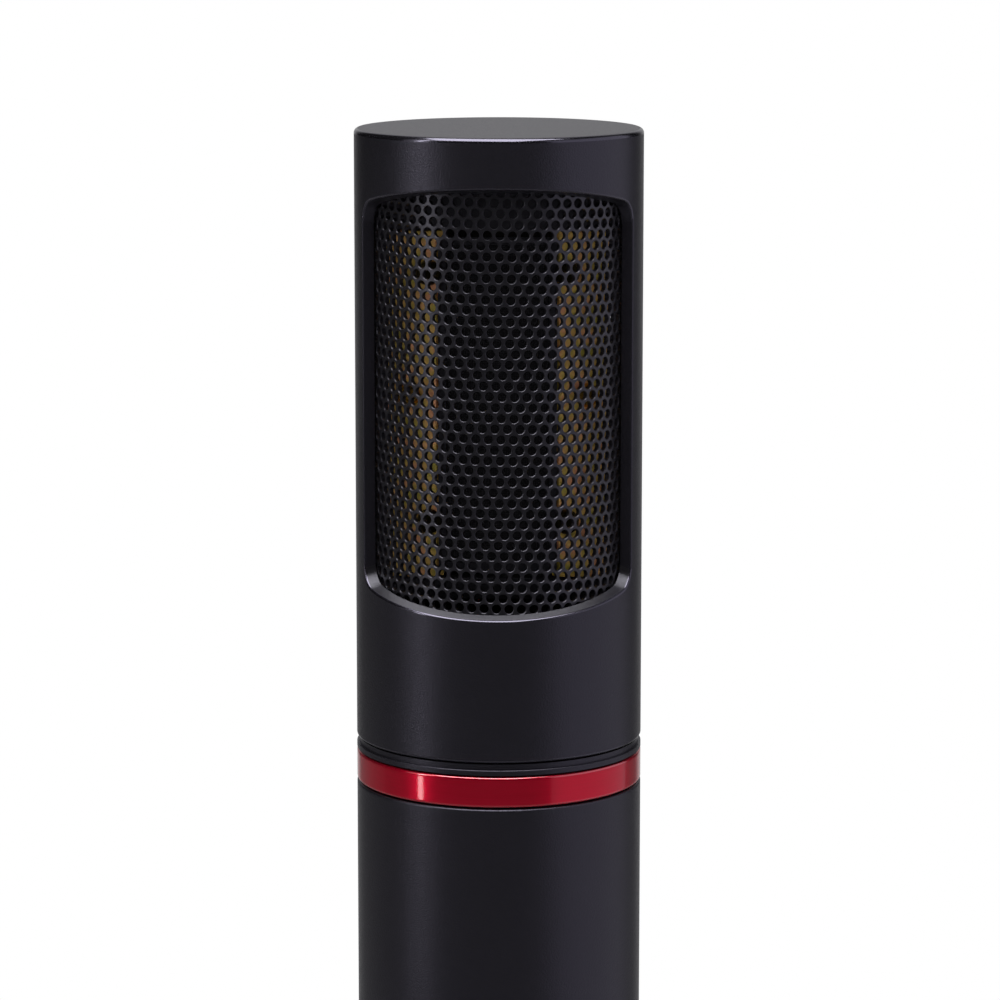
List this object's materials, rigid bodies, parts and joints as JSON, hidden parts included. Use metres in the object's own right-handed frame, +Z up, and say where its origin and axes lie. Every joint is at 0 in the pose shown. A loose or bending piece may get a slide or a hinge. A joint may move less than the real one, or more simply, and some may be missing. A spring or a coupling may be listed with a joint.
{
  "type": "ribbon microphone",
  "caption": "Side-address ribbon microphone: black windowed head with perforated grille over a gold-blocked ribbon motor, red ring, plain tube body and recessed male connector.",
  "frame": {"origin": "centre of the lower end of the body tube, on the microphone's axis", "axes": "+Z up along the axis towards the head, -Y out of the front window, +X to the right seen from the front"},
  "size_m": [0.048, 0.048, 0.2],
  "materials": {
    "black_anodised_aluminium": "fine-blasted, black anodised",
    "red_anodised_aluminium": "turned, red anodised",
    "black_steel": "black, satin",
    "passivated_steel": "yellow passivated",
    "brass": "turned",
    "nickel": "nickel plated",
    "aluminium_foil": "bare foil",
    "black_silk": "fine weave",
    "phenolic_board": "laminated",
    "rubber": "moulded",
    "zinc_plated_steel": "bright zinc",
    "connector_plastic": "moulded",
    "red_insulation": "extruded",
    "black_insulation": "extruded"
  },
  "bodies": {
    "body": {"base_plate_screw_left": "zinc_plated_steel", "base_plate_screw_right": "zinc_plated_steel", "body_tube": "black_anodised_aluminium", "chassis_rail_left": "zinc_plated_steel", "chassis_rail_right": "zinc_plated_steel", "clamp_bar_lower": "brass", "clamp_bar_upper": "brass", "clamp_block_lower": "phenolic_board", "clamp_block_upper": "phenolic_board", "clamp_screw_lower_left": "brass", "clamp_screw_lower_right": "brass", "clamp_screw_upper_left": "brass", "clamp_screw_upper_right": "brass", "connector_insert": "connector_plastic", "connector_pin_1": "nickel", "connector_pin_2": "nickel", "connector_pin_3": "nickel", "connector_retaining_ring": "zinc_plated_steel", "end_plate": "black_anodised_aluminium", "end_screw_left": "black_steel", "end_screw_right": "black_steel", "front_screen": "black_silk", "isolator_bolt_left": "zinc_plated_steel", "isolator_bolt_right": "zinc_plated_steel", "isolator_left": "rubber", "isolator_right": "rubber", "magnet_left": "nickel", "magnet_right": "nickel", "motor_base_plate": "black_steel", "motor_top_plate": "black_steel", "neck": "black_anodised_aluminium", "output_lead_1": "black_insulation", "output_lead_2": "black_insulation", "output_lead_3": "black_insulation", "pole_piece_left": "black_steel", "pole_piece_right": "black_steel", "rail_screw_left": "zinc_plated_steel", "rail_screw_right": "zinc_plated_steel", "rear_screen": "black_silk", "red_ring": "red_anodised_aluminium", "ribbon_lead_lower": "red_insulation", "ribbon_lead_upper": "red_insulation", "screen_rivet_lower_left": "black_steel", "screen_rivet_lower_right": "black_steel", "screen_rivet_upper_left": "black_steel", "screen_rivet_upper_right": "black_steel", "side_block_left": "passivated_steel", "side_block_right": "passivated_steel", "tie_rivet_left": "brass", "tie_rivet_right": "brass", "top_plate_screw_left": "zinc_plated_steel", "top_plate_screw_right": "zinc_plated_steel", "transformer_can": "nickel", "transformer_nut": "zinc_plated_steel", "transformer_shelf": "zinc_plated_steel"},
    "head": {"head_shell": "black_anodised_aluminium", "grille": "black_steel"},
    "head_collar": {"head_collar": "brass"},
    "ribbon": {"ribbon": "aluminium_foil"}
  },
  "joints": [
    {"name": "head_rise", "type": "slide", "parent": "body", "child": "head_collar", "axis": [0, 0, 1], "range_m": [0, 0.006]},
    {"name": "head_turn", "type": "hinge", "parent": "head_collar", "child": "head", "pos_m": [0, 0, 0.1], "axis": [0, 0, 1], "range_deg": [0, 1440]},
    {"name": "ribbon_swing", "type": "slide", "parent": "body", "child": "ribbon", "axis": [0, 1, 0], "range_m": [-0.0002, 0.0002], "stiffness_N_per_m": 12}
  ],
  "couplings": [
    {"joint": "head_rise", "follows": "head_turn", "m_per_rad": 0.00023873}
  ]
}
